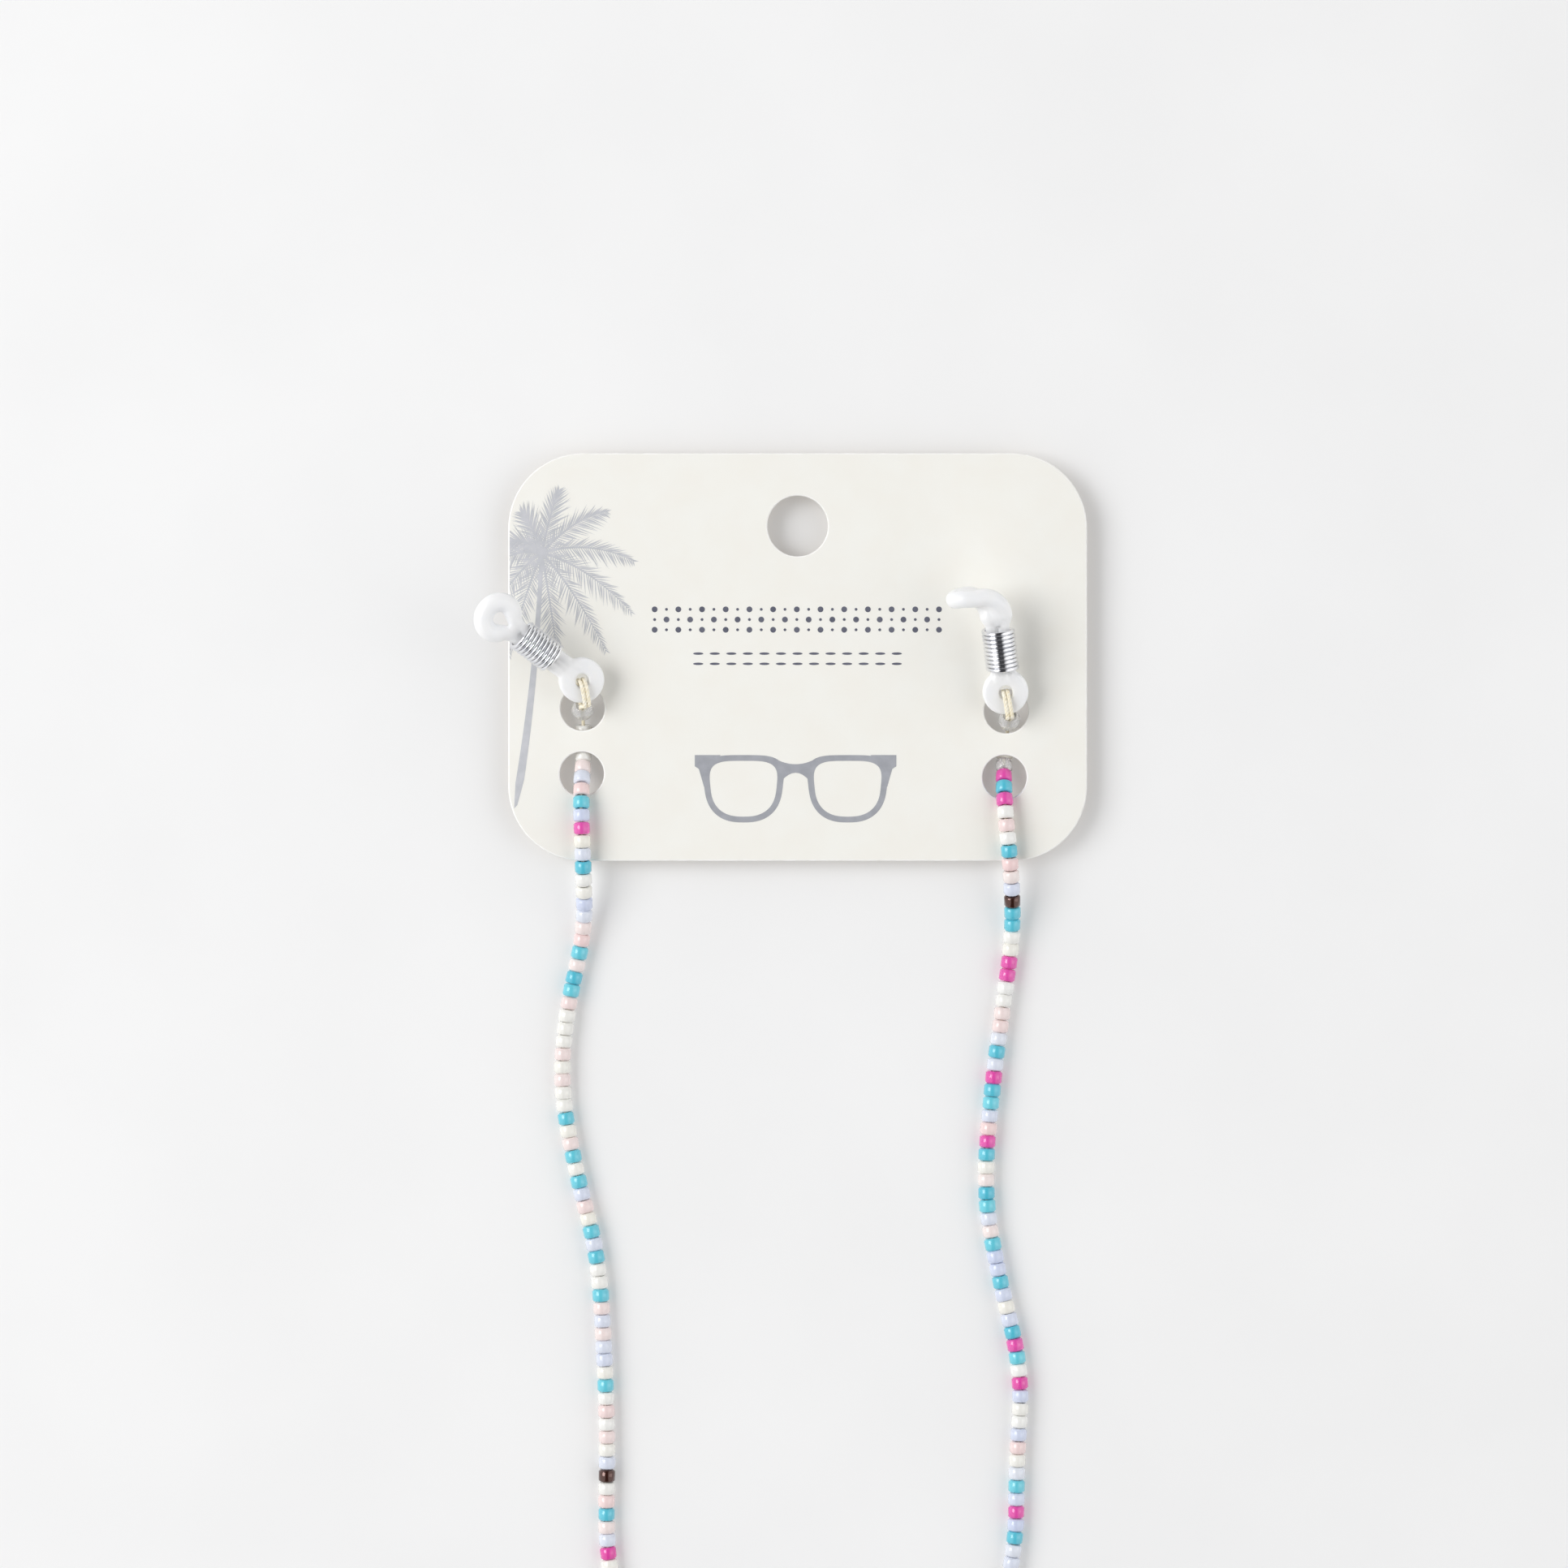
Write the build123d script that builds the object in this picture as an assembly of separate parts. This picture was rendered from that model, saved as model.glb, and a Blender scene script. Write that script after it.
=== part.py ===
"""Beaded glasses cord on its display card.

Millimetres. The origin is the centre of the card's hang hole, halfway through the card.
+X is to the right and +Y to the top of the card, +Z is out of the printed face.
The cord leaves a soft end fitting, goes down through the upper threading hole, behind the
card, up through the lower hole, over the card's bottom edge and onto the table.
"""

import os
from math import acos, cos, radians, sin, sqrt, tan

from build123d import *

os.makedirs("parts", exist_ok=True)

# display card
card_width = 85.0
card_top = 10.7
card_bottom = -49.2
card_corner = 11.0
card_thickness = 0.6
hang_hole_radius = 4.45
threading_hole_radius = 3.25
left_upper_hole = (-31.6, -26.8)
left_lower_hole = (-31.7, -36.4)
right_upper_hole = (30.65, -27.2)
right_lower_hole = (30.4, -36.9)

# beads
bead_radius = 1.25
bead_length = 1.8
bead_hole_radius = 0.45
bead_edge = 0.45
bead_gap = 0.04
end_bead_radius = 1.65
end_bead_hole_radius = 0.95
thread_radius = 0.25

# height of the strand's middle line on the table and on the card's face
table_level = -2.1
front_level = 2.05
floor = table_level - bead_radius

# soft end fitting
ring_radius = 3.35
ring_thickness = 1.8
ring_hole_radius = 1.0
ring_edge = 0.55
leg_radius = 0.86
leg_offset = 0.93
loop_radius = 1.1
flare_length = 0.7

# cinch spring
spring_radius = 2.16
spring_wire_radius = 0.29
spring_pitch = 0.605
spring_turns = 10

# doubled thread that ties each fitting to the strand
tie_thread_radius = 0.3
tie_thread_side = 0.36
tie_thread_gap = 0.3

# coil of spare strand and the tie around it
coil_centre = (2.0, -180.0)
coil_radius = 14.5
coil_wide = 5.3
coil_high = 5.2
coil_tie_thickness = 0.6
coil_tie_width = 3.0
coil_tie_clearance = 0.15


def save(name, *solids):
    """Write one node as one file."""
    shape = solids[0] if len(solids) == 1 else Compound(list(solids))
    shape.label = name
    export_step(shape, f"parts/{name}.step")
    box = shape.bounding_box()
    print(f"{name}: {len(solids)} solid(s), volume {sum(s.volume for s in solids):.2f},",
          f"z {box.min.Z:.2f} to {box.max.Z:.2f}")


def route(points, most=None, name=None):
    """Straight runs joined by tangent arcs."""
    at = [Vector(*p) for p in points]
    radii = []
    for a, b, c in zip(at, at[1:], at[2:]):
        into, out = b - a, c - b
        turn = acos(max(-1, min(1, into.normalized().dot(out.normalized()))))
        radius = 0.45 * min(into.length, out.length) / tan(turn / 2)
        radii.append(min(radius, most) if most else radius)
    if name:
        print(name, "arc radii", [round(r, 1) for r in radii])
    return FilletPolyline(*at, radius=radii)


def tube(path, radius):
    """A round bar along a path."""
    start = Plane(origin=path @ 0, z_dir=path % 0)
    solid = sweep(start * Circle(radius), path=path).solids()[0]
    share = solid.volume / (3.14159265 * radius**2 * path.length)
    if abs(share - 1) > 0.01:
        print("tube volume is off by a factor of", round(share, 3))
    return solid


# --- display card ---------------------------------------------------------------------------

card_middle = (card_top + card_bottom) / 2
card = Pos(0, card_middle, 0) * extrude(
    RectangleRounded(card_width, card_top - card_bottom, card_corner), card_thickness / 2, both=True
)
card -= Cylinder(hang_hole_radius, 2)
for x, y in (left_upper_hole, left_lower_hole, right_upper_hole, right_lower_hole):
    card -= Pos(x, y, 0) * Cylinder(threading_hole_radius, 2)
save("display_card", card.solids()[0])


# --- soft end fittings ----------------------------------------------------------------------

def fitting_frame(ring, heading, rise):
    """The fitting's own axes: Y along it, Z out of the flat of its ring."""
    h, r = radians(heading), radians(rise)
    along = Vector(cos(h) * cos(r), sin(h) * cos(r), sin(r))
    side = Vector(sin(h), -cos(h), 0)
    return Plane(origin=ring, x_dir=side, z_dir=side.cross(along)), along


def temple_loop(frame, leg_end, strand):
    """Ring, two legs and the loop that a temple goes through, in the fitting's own axes."""
    body = Cylinder(ring_radius, ring_thickness)
    body = fillet(body.edges().filter_by(GeomType.CIRCLE), ring_edge)
    body -= Cylinder(ring_hole_radius, ring_thickness + 1)
    flare_end = leg_end + flare_length
    for side in (-1, 1):
        foot = Plane(origin=(side * leg_offset, 1.6, 0), z_dir=(0, 1, 0))
        body += extrude(foot * Circle(leg_radius), leg_end - 1.6)
        low = Plane(origin=(side * leg_offset, leg_end, 0), z_dir=(0, 1, 0))
        high = Plane(origin=(side * loop_radius, flare_end, 0), z_dir=(0, 1, 0))
        body += loft([low * Circle(leg_radius), high * Circle(loop_radius - 0.02)])
    points = [(-loop_radius, flare_end, 0), *strand, (loop_radius, flare_end, 0)]
    path = Spline(*[Vector(*p) for p in points], tangents=[(0, 1, 0), (0, -1, 0)])
    start = Plane(origin=path @ 0, z_dir=path % 0)
    body += sweep(start * Circle(loop_radius - 0.02), path=path)
    return (frame.location * body.solids()[0]), len(body.solids())


def cinch_spring(frame, start):
    """Close-wound helix around the two legs, starting at a distance along the fitting."""
    height = spring_pitch * spring_turns
    path = Helix(pitch=spring_pitch, height=height, radius=spring_radius)
    wire = Plane(origin=path @ 0, z_dir=path % 0) * Circle(spring_wire_radius)
    coil = sweep(wire, path=path, is_frenet=True).solids()[0]
    upright = Plane(origin=(0, start + spring_wire_radius, 0), x_dir=(1, 0, 0), z_dir=(0, 1, 0))
    return frame.location * (upright.location * coil)


def flat_loop(first, widest, tip, half):
    """Strand points of a loop that opens in the plane of its ring."""
    near = [(-0.72 * half, first, 0), (-half, widest, 0), (-0.72 * half, tip - 0.75, 0)]
    return [*near, (0, tip, 0), *[(-x, y, z) for x, y, z in reversed(near)]]


def bent_loop(leg_end, bend_radius, bend, tip):
    """Strand points of a loop that bends sideways while its two strands turn one over the other."""
    start = leg_end + flare_length
    stations = []
    for share in (0.33, 0.66, 1.0):
        angle = radians(bend * share)
        middle = (bend_radius * (cos(angle) - 1), start + bend_radius * sin(angle))
        stations.append((middle, angle, radians(90 * share), 1.2 + 0.25 * share))
    end, angle = stations[-1][0], radians(bend)
    go = (-sin(angle), cos(angle))
    stations.append(((end[0] + tip * go[0], end[1] + tip * go[1]), angle, radians(90), 1.2))
    lower, upper = [], []
    for (x, y), turn, roll, half in stations:
        side = (cos(turn) * cos(roll), sin(turn) * cos(roll), sin(roll))
        lower.append((x - half * side[0], y - half * side[1], -half * side[2]))
        upper.append((x + half * side[0], y + half * side[1], half * side[2]))
    far = (end[0] + (tip + 1.15) * go[0], end[1] + (tip + 1.15) * go[1], 0)
    return [*lower, far, *reversed(upper)]


left_ring = (-31.6, -22.7, 3.9)
right_ring = (30.35, -24.4, 3.6)
left_frame, left_along = fitting_frame(left_ring, 143.0, 18.0)
right_frame, right_along = fitting_frame(right_ring, 97.7, 14.0)
left_spring_start, right_spring_start = 5.1, 3.05
left_leg_end, right_leg_end = 12.6, 10.6

left_loop, left_count = temple_loop(left_frame, left_leg_end, flat_loop(14.2, 15.7, 18.0, 2.5))
right_loop, right_count = temple_loop(
    right_frame, right_leg_end, bent_loop(right_leg_end, 3.3, 85.0, 1.7)
)
print("loop solids", left_count, right_count)
save("left_temple_loop", left_loop)
save("right_temple_loop", right_loop)
save("left_cinch_spring", cinch_spring(left_frame, left_spring_start))
save("right_cinch_spring", cinch_spring(right_frame, right_spring_start))
for name, frame, along in (("left", left_frame, left_along), ("right", right_frame, right_along)):
    print(name, "hinge at", tuple(frame.origin), "axis", tuple(frame.z_dir), "slide", tuple(along))


# --- end beads and the thread that ties each fitting on ---------------------------------------

end_bead_slope = radians(60)
left_end_bead = (-31.6, -26.95, -0.3)
right_end_bead = (31.1, -28.5, -0.3)


def end_bead(centre):
    """Clear bead that sits in the upper threading hole."""
    up = (0, cos(end_bead_slope), sin(end_bead_slope))
    bead = Sphere(end_bead_radius) - Cylinder(end_bead_hole_radius, 5)
    return (Plane(origin=centre, z_dir=up).location * bead).solids()[0]


def tie_threads(frame, centre):
    """Two threads side by side, each through the eyelet and back to the end bead."""
    up = Vector(0, cos(end_bead_slope), sin(end_bead_slope))
    out = Vector(0, -sin(end_bead_slope), cos(end_bead_slope))
    bead, ring, normal = Vector(*centre), frame.origin, frame.z_dir
    toward = bead - ring
    toward = (toward - normal * toward.dot(normal)).normalized()
    across = toward.cross(normal)
    lift = ring_thickness / 2 + tie_thread_gap + tie_thread_radius
    rim = ring_radius + tie_thread_gap + tie_thread_radius
    solids = []
    for side in (-tie_thread_side, tie_thread_side):
        on_ring, in_bead = across * side, Vector(-side, 0, 0) * (1 if across.X < 0 else -1)
        points = [
            bead + up * 0.5 + out * 0.33 + in_bead,
            bead + up * 1.75 + out * 0.33 + in_bead,
            ring + toward * rim + normal * 0.1 + on_ring,
            ring + toward * (rim - 0.35) + normal * lift + on_ring,
            ring + normal * lift + on_ring,
            ring - normal * lift + on_ring,
            ring + toward * 1.9 - normal * lift + on_ring,
            bead + up * 1.75 - out * 0.33 + in_bead,
            bead + up * 0.5 - out * 0.33 + in_bead,
        ]
        solids.append(tube(route(points, most=0.7), tie_thread_radius))
    return solids


save("left_end_bead", end_bead(left_end_bead))
save("right_end_bead", end_bead(right_end_bead))
save("left_tie_thread", *tie_threads(left_frame, left_end_bead))
save("right_tie_thread", *tie_threads(right_frame, right_end_bead))


# --- strand: thread and beads -----------------------------------------------------------------

left_route = [
    left_end_bead,
    (-31.6, -28.05, table_level),
    (-31.5, -33.6, table_level),
    (-31.8, -39.4, front_level + 0.2),
    (-31.4, -50.4, front_level),
    (-31.3, -59.6, table_level),
    (-34.1, -71.2, table_level),
    (-35.0, -82.6, table_level),
    (-32.6, -95.5, table_level),
    (-29.4, -107.2, table_level),
    (-28.5, -121.0, table_level),
    (-28.0, -135.0, table_level),
    (-28.3, -149.5, table_level),
    (-26.6, -160.8, table_level),
    (-20.6, -170.2, table_level),
    (-14.9, -178.6, table_level),
]
right_route = [
    right_end_bead,
    (31.0, -29.6, table_level),
    (30.4, -34.2, table_level),
    (30.2, -40.1, front_level + 0.2),
    (31.3, -50.6, front_level),
    (31.8, -59.8, table_level),
    (30.3, -70.5, table_level),
    (28.6, -83.0, table_level),
    (27.4, -98.0, table_level),
    (29.7, -110.8, table_level),
    (33.2, -124.6, table_level),
    (32.3, -137.5, table_level),
    (32.2, -150.5, table_level),
    (30.8, -161.0, table_level),
    (25.0, -170.4, table_level),
    (18.9, -178.6, table_level),
]

# bead colours from the lower threading hole down, one letter each
colours = {
    "T": "teal_beads", "M": "magenta_beads", "P": "blush_beads", "I": "ivory_beads",
    "B": "ice_blue_beads", "K": "bronze_beads", "C": "clear_beads",
}
left_order = "PBPTBMIBTIIBBPPTPTTPIIIPIPIITIPTITBPITBTIITPBPBBITIPIPIBKIPTPBMI"
right_order = "CMTMIPITPPBKTTIIMMIIPPBTBMTTBPMTIPTTBPTBBTBIBTMTIMBIIBPIBTBMBTBBI"
first_in_order = {"left": -34.4, "right": -34.4}

bead_blank = Cylinder(bead_radius, bead_length)
bead_blank = fillet(bead_blank.edges().filter_by(GeomType.CIRCLE), bead_edge)
bead_blank = (bead_blank - Cylinder(bead_hole_radius, bead_length + 1)).solids()[0]
groups = {name: [] for name in colours.values()}
hidden = {"left": [], "right": []}


def string_beads(side, path, order):
    """March along the thread and set each bead just clear of the one before."""
    length, face = path.length, bead_radius - bead_edge
    travel, last, placed = 3.75, None, 0
    while travel < length:
        middle, along = path @ (travel / length), path % (travel / length)
        if last:
            half = acos(max(-1, min(1, along.dot(last[1])))) / 2
            need = bead_length * cos(half) + 2 * face * sin(half) + bead_gap
            if (middle - last[0]).length < need:
                travel += 0.01
                continue
        from_coil = sqrt((middle.X - coil_centre[0]) ** 2 + (middle.Y - coil_centre[1]) ** 2)
        if from_coil < coil_radius + coil_wide / 2 + 1.7:
            break
        bead = Plane(origin=middle, z_dir=along).location * bead_blank
        if middle.Y > first_in_order[side]:
            hidden[side].append(bead)
        else:
            groups[colours[order[placed % len(order)]]].append(bead)
            placed += 1
            if placed == len(order):
                print(side, "order ends at y", round(middle.Y, 1))
        last = (middle, along)
        travel += 1.75
    print(side, "beads", placed, "behind the card", len(hidden[side]), "thread", round(length, 1))


for side, points, order in (
    ("left", left_route, left_order), ("right", right_route, right_order)
):
    path = route(points, name=side)
    string_beads(side, path, order)
    save(f"{side}_thread", tube(path, thread_radius))
    save(f"{side}_hidden_beads", *hidden[side])
for name, beads in groups.items():
    save(name, *beads)


# --- coil of spare strand and its tie ---------------------------------------------------------

coil_low = floor + coil_tie_thickness + 0.1
coil_mid = coil_low + coil_high / 2
section = Plane.XZ * Pos(coil_radius, coil_mid, 0) * RectangleRounded(coil_wide, coil_high, 1.25)
coil = Pos(*coil_centre, 0) * revolve(section, Axis.Z)
save("strand_coil", coil.solids()[0])

inner_wide, inner_high = coil_wide + 2 * coil_tie_clearance, coil_high + 2 * 0.1
inner = RectangleRounded(inner_wide, inner_high, 1.2)
outer = RectangleRounded(
    inner_wide + 2 * coil_tie_thickness, inner_high + 2 * coil_tie_thickness, 1.6
)
band = extrude(outer - inner, coil_tie_width / 2, both=True)
seat = Plane(
    origin=(coil_centre[0], coil_centre[1] - coil_radius, coil_mid), x_dir=(0, 1, 0), z_dir=(1, 0, 0)
)
save("coil_tie", (seat.location * band).solids()[0])
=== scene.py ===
# %% [markdown]
# # Beaded glasses cord on its display card
# A string of small glass beads ends in two soft silicone loops, which grip the temples of a pair of glasses.
# It is shown threaded on a printed card, lying on a pale table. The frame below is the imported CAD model,
# in metres. Sizes are written in millimetres and multiplied by mm, and every piece is made in its place.

# %% Load the frame
from math import acos, cos, pi, radians, sin
import bmesh
import bpy
from mathutils import Matrix, Vector


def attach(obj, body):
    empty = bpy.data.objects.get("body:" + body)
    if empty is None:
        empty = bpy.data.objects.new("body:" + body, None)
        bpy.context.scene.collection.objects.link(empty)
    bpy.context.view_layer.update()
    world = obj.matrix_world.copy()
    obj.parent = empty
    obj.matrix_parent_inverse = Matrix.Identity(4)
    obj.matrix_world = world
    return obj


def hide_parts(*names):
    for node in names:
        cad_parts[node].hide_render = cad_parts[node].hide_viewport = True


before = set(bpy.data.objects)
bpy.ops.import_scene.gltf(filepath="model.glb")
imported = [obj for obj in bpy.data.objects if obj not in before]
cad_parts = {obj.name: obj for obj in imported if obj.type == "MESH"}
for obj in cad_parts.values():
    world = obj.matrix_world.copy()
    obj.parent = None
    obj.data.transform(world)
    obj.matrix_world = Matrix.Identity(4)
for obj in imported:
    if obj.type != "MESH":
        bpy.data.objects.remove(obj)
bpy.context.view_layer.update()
mm = 0.001
card_and_strand, left_end, right_end = "card_and_strand", "left_end", "right_end"

# %% [markdown]
# ## Camera
# The card is seen from straight above. A long lens from 0.64 m keeps upright lines nearly parallel, so
# the card's holes don't show their walls.

# %% Camera
view_width, view_middle = 0.2304, Vector((-2.0, -37.9, 0)) * mm
sensor_width, long_lens = 36, 100
camera_data = bpy.data.cameras.new("camera")
camera_data.sensor_width, camera_data.lens = sensor_width, long_lens
camera_height = view_width * long_lens / sensor_width
camera = bpy.data.objects.new("camera", camera_data)
camera.location = view_middle + Vector((0, 0, camera_height))
bpy.context.scene.collection.objects.link(camera)
bpy.context.scene.camera = camera
bpy.context.scene.view_settings.view_transform = "Standard"
print("camera height", round(camera_height, 3))

# %% [markdown]
# ## The strand's line
# The strand leaves the end bead in the upper threading hole, runs behind the card, comes up through
# the lower hole, crosses the card's bottom edge and lies on the table in a loose curve. What a buyer
# doesn't see of it is wound in a small coil. One NURBS spline holds the whole line: its control points
# pull the curve without being on it, so it bends like cord and never like wire.

# %% Control points of the strand
table_level, front_level = -2.1, 2.05
left_end_bead, right_end_bead = (-31.6, -26.95, -0.3), (31.1, -28.5, -0.3)
left_route = [
    left_end_bead,
    (-31.6, -28.05, table_level),
    (-31.5, -33.6, table_level),
    (-31.8, -39.4, front_level + 0.2),
    (-31.4, -50.4, front_level),
    (-31.3, -59.6, table_level),
    (-34.1, -71.2, table_level),
    (-35.0, -82.6, table_level),
    (-32.6, -95.5, table_level),
    (-29.4, -107.2, table_level),
    (-28.5, -121.0, table_level),
    (-28.0, -135.0, table_level),
    (-28.3, -149.5, table_level),
    (-26.6, -160.8, table_level),
    (-20.6, -170.2, table_level),
    (-14.9, -178.6, table_level),
]
right_route = [
    right_end_bead,
    (31.0, -29.6, table_level),
    (30.4, -34.2, table_level),
    (30.2, -40.1, front_level + 0.2),
    (31.3, -50.6, front_level),
    (31.8, -59.8, table_level),
    (30.3, -70.5, table_level),
    (28.6, -83.0, table_level),
    (27.4, -98.0, table_level),
    (29.7, -110.8, table_level),
    (33.2, -124.6, table_level),
    (32.3, -137.5, table_level),
    (32.2, -150.5, table_level),
    (29.6, -161.0, table_level),
    (23.6, -169.2, -1.0),
    (18.8, -176.4, 1.1),
]
print("route points", len(left_route), len(right_route))

# %% [markdown]
# Three and a half turns wind the spare strand two wide and two high. The steps from one lap to the
# next are staggered round the coil, so no two laps are ever nearer than a bead's width.

# %% Turns of the coil
coil_centre = (2.0, -180.0)
outer_lap, inner_lap, low_lap, high_lap = 15.95, 13.25, -1.35, 1.25
points_per_turn, turns, start_angle, step_over = 18, 3.5, 180, 40
inward_from, rise_from, outward_from = 320, 640, 960


def eased(share):
    """From 0 to 1 without a kink at either end."""
    share = max(0.0, min(1.0, share))
    return share * share * (3 - 2 * share)


coil_points = []
for step in range(1, int(turns * points_per_turn)):
    turned = 360 * step / points_per_turn
    inward = eased((turned - inward_from) / step_over)
    outward = eased((turned - outward_from) / step_over)
    lap = outer_lap - (outer_lap - inner_lap) * (inward - outward)
    level = low_lap + (high_lap - low_lap) * eased((turned - rise_from) / step_over)
    angle = radians(start_angle + turned)
    coil_points.append((coil_centre[0] + lap * cos(angle), coil_centre[1] + lap * sin(angle), level))
print("coil points", len(coil_points))

# %% The spline, and the points that the beads follow


def spline_object(name, points, order=3, steps=8):
    """A curve object with one open NURBS spline, from control points in millimetres."""
    curve = bpy.data.curves.new(name, "CURVE")
    curve.dimensions, curve.resolution_u = "3D", steps
    spline = curve.splines.new("NURBS")
    spline.points.add(len(points) - 1)
    for point, place in zip(spline.points, points):
        point.co = (*(Vector(place) * mm), 1)
    spline.order_u, spline.use_endpoint_u = order, True
    made = bpy.data.objects.new(name, curve)
    bpy.context.scene.collection.objects.link(made)
    return made


def line_of(curve_object):
    """The points along a curve that has no thickness yet."""
    bpy.context.view_layer.update()
    mesh = bpy.data.meshes.new_from_object(curve_object)
    points = [vertex.co.copy() for vertex in mesh.vertices]
    bpy.data.meshes.remove(mesh)
    return points


strand_thread = spline_object("strand_thread", left_route + coil_points + right_route[::-1])
strand_line = line_of(strand_thread)
strand_length = sum((b - a).length for a, b in zip(strand_line, strand_line[1:]))
print("strand length", round(strand_length, 4), "from", len(strand_line), "points")

# %% [markdown]
# ## Shared effects for the finishes
# Nearly every surface here has the same two small faults: it is a little cloudy, and it isn't quite
# smooth. One node group gives both, as a mask to mix colours with and a height for a Bump node. A second
# group makes one bead a shade deeper than the next, from a random number that each bead carries.

# %% Node group: cloudy mask and fine height


def linear(red, green, blue):
    """A screen colour from 0 to 255 as the linear colour that shaders use."""
    shares = [channel / 255 for channel in (red, green, blue)]
    return (*[s / 12.92 if s < 0.0404 else ((s + 0.055) / 1.055) ** 2.4 for s in shares], 1)


def new_group(name, inputs, outputs):
    """An empty shader node group with named sockets."""
    group = bpy.data.node_groups.new(name, "ShaderNodeTree")
    for label, kind, start in inputs:
        group.interface.new_socket(name=label, in_out="INPUT", socket_type=kind).default_value = start
    for label, kind in outputs:
        group.interface.new_socket(name=label, in_out="OUTPUT", socket_type=kind)
    return group, group.nodes.new("NodeGroupInput"), group.nodes.new("NodeGroupOutput")


cloudy, into, out = new_group(
    "cloudy_surface",
    [("Cloud size", "NodeSocketFloat", 300), ("Grain size", "NodeSocketFloat", 4000)],
    [("Mask", "NodeSocketFloat"), ("Height", "NodeSocketFloat")],
)
place = cloudy.nodes.new("ShaderNodeTexCoord")
for size, result, depth in (("Cloud size", "Mask", 4), ("Grain size", "Height", 2)):
    noise = cloudy.nodes.new("ShaderNodeTexNoise")
    noise.inputs["Detail"].default_value = depth
    cloudy.links.new(place.outputs["Object"], noise.inputs["Vector"])
    cloudy.links.new(into.outputs[size], noise.inputs["Scale"])
    cloudy.links.new(noise.outputs["Fac"], out.inputs[result])
print("group", cloudy.name, "outputs", [s.name for s in cloudy.interface.items_tree if s.in_out == "OUTPUT"])

# %% Node group: one bead deeper than the next
bead_shade, into, out = new_group(
    "bead_shade",
    [("Light colour", "NodeSocketColor", (1, 1, 1, 1)), ("Deep colour", "NodeSocketColor", (1, 1, 1, 1))],
    [("Colour", "NodeSocketColor")],
)
each_bead = bead_shade.nodes.new("ShaderNodeAttribute")
each_bead.attribute_name = "bead_tint"
shade_mix = bead_shade.nodes.new("ShaderNodeMix")
shade_mix.data_type = "RGBA"
bead_shade.links.new(each_bead.outputs["Fac"], shade_mix.inputs["Factor"])
bead_shade.links.new(into.outputs["Light colour"], shade_mix.inputs[6])
bead_shade.links.new(into.outputs["Deep colour"], shade_mix.inputs[7])
bead_shade.links.new(shade_mix.outputs[2], out.inputs["Colour"])
print("group", bead_shade.name)

# %% Helpers that build a finish


def finish(name, colour, roughness, **settings):
    """A material with one Principled shader and plain numbers on its own sockets."""
    material = bpy.data.materials.new(name)
    material.use_nodes = True
    shader = material.node_tree.nodes["Principled BSDF"]
    shader.inputs["Base Color"].default_value = colour
    shader.inputs["Roughness"].default_value = roughness
    for label, value in settings.items():
        shader.inputs[label.replace("_", " ")].default_value = value
    return material, shader


def clouded_finish(name, light, deep, gloss, cloud, grain, bump=0.1, depth=0.02 * mm, **settings):
    """A finish with clouds of two screen colours and a fine bump. Gloss is one roughness or a range."""
    gloss_range = gloss if isinstance(gloss, tuple) else None
    material, shader = finish(name, linear(*light), gloss_range[0] if gloss_range else gloss, **settings)
    tree = material.node_tree
    clouds = tree.nodes.new("ShaderNodeGroup")
    clouds.node_tree = cloudy
    clouds.inputs["Cloud size"].default_value, clouds.inputs["Grain size"].default_value = cloud, grain
    ramp = tree.nodes.new("ShaderNodeValToRGB")
    low, high = ramp.color_ramp.elements
    low.position, high.position = 0.35, 0.65
    low.color, high.color = linear(*deep), linear(*light)
    tree.links.new(clouds.outputs["Mask"], ramp.inputs["Fac"])
    tree.links.new(ramp.outputs["Color"], shader.inputs["Base Color"])
    bumped = tree.nodes.new("ShaderNodeBump")
    bumped.inputs["Strength"].default_value, bumped.inputs["Distance"].default_value = bump, depth
    tree.links.new(clouds.outputs["Height"], bumped.inputs["Height"])
    tree.links.new(bumped.outputs["Normal"], shader.inputs["Normal"])
    if gloss_range:
        spread = tree.nodes.new("ShaderNodeMapRange")
        spread.inputs["To Min"].default_value, spread.inputs["To Max"].default_value = gloss_range
        tree.links.new(clouds.outputs["Mask"], spread.inputs["Value"])
        tree.links.new(spread.outputs["Result"], shader.inputs["Roughness"])
    return material


def bead_finish(name, light, deep, roughness, **settings):
    """A finish in which each bead has its own shade between two screen colours."""
    material, shader = finish(name, linear(*light), roughness, **settings)
    shade = material.node_tree.nodes.new("ShaderNodeGroup")
    shade.node_tree = bead_shade
    shade.inputs["Light colour"].default_value = linear(*light)
    shade.inputs["Deep colour"].default_value = linear(*deep)
    material.node_tree.links.new(shade.outputs["Colour"], shader.inputs["Base Color"])
    return material


print("helpers:", clouded_finish.__name__, bead_finish.__name__)

# %% [markdown]
# ## Finishes of the beads
# Most of the beads are tinted glass with a painted hole. The glass and the paint are two materials on one
# bead. Teal is glass that is coloured right through, and bronze has a metal coat. The pale beads are of a
# milkier glass than the magenta ones, so their painted cores only show as a breath of colour. Transmission
# is a plain number on each shader, because a linked one would be lost when the model is exported.

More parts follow.
